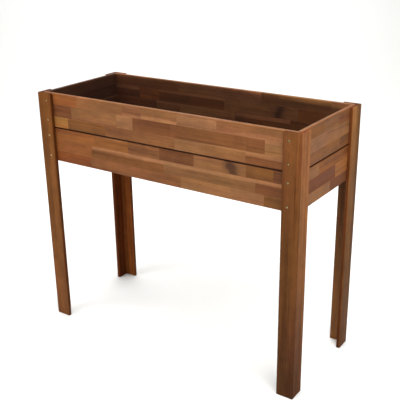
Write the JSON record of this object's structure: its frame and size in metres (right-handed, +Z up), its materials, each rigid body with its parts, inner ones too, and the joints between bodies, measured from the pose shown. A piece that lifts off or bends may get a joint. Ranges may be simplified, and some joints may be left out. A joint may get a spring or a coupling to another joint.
{
  "type": "raised planter",
  "caption": "Open rectangular wooden trough for plants, raised to standing height on tall L-section corner legs, with screwed board walls and a slatted floor.",
  "frame": {"origin": "on the ground under the middle of the trough", "axes": "+X along the trough to the right seen from the front, +Y from front to back, +Z up"},
  "size_m": [0.94, 0.38, 0.8],
  "materials": {
    "leg_wood": "oiled acacia, planed, edges rounded",
    "board_wood": "oiled acacia staves, finger-jointed and edge-glued, planed",
    "floor_wood": "acacia, planed, less oil",
    "screw_metal": "steel, yellow zinc plated"
  },
  "bodies": {
    "root": {"leg_front_right": "leg_wood", "leg_front_left": "leg_wood", "leg_back_left": "leg_wood", "leg_back_right": "leg_wood", "front_board_upper": "board_wood", "right_board_upper": "board_wood", "back_board_upper": "board_wood", "left_board_upper": "board_wood", "front_board_lower": "board_wood", "right_board_lower": "board_wood", "back_board_lower": "board_wood", "left_board_lower": "board_wood", "front_cleat": "floor_wood", "back_cleat": "floor_wood", "floor_slat_1": "floor_wood", "floor_slat_2": "floor_wood", "floor_slat_3": "floor_wood", "floor_slat_4": "floor_wood", "floor_slat_5": "floor_wood", "floor_slat_6": "floor_wood", "floor_slat_7": "floor_wood", "floor_slat_8": "floor_wood", "screws_leg_front_right": "screw_metal", "screws_leg_front_left": "screw_metal", "screws_leg_back_left": "screw_metal", "screws_leg_back_right": "screw_metal", "screws_right_boards": "screw_metal", "screws_left_boards": "screw_metal", "screws_front_cleat": "screw_metal", "screws_back_cleat": "screw_metal", "screws_floor_slats": "screw_metal"}
  },
  "joints": []
}
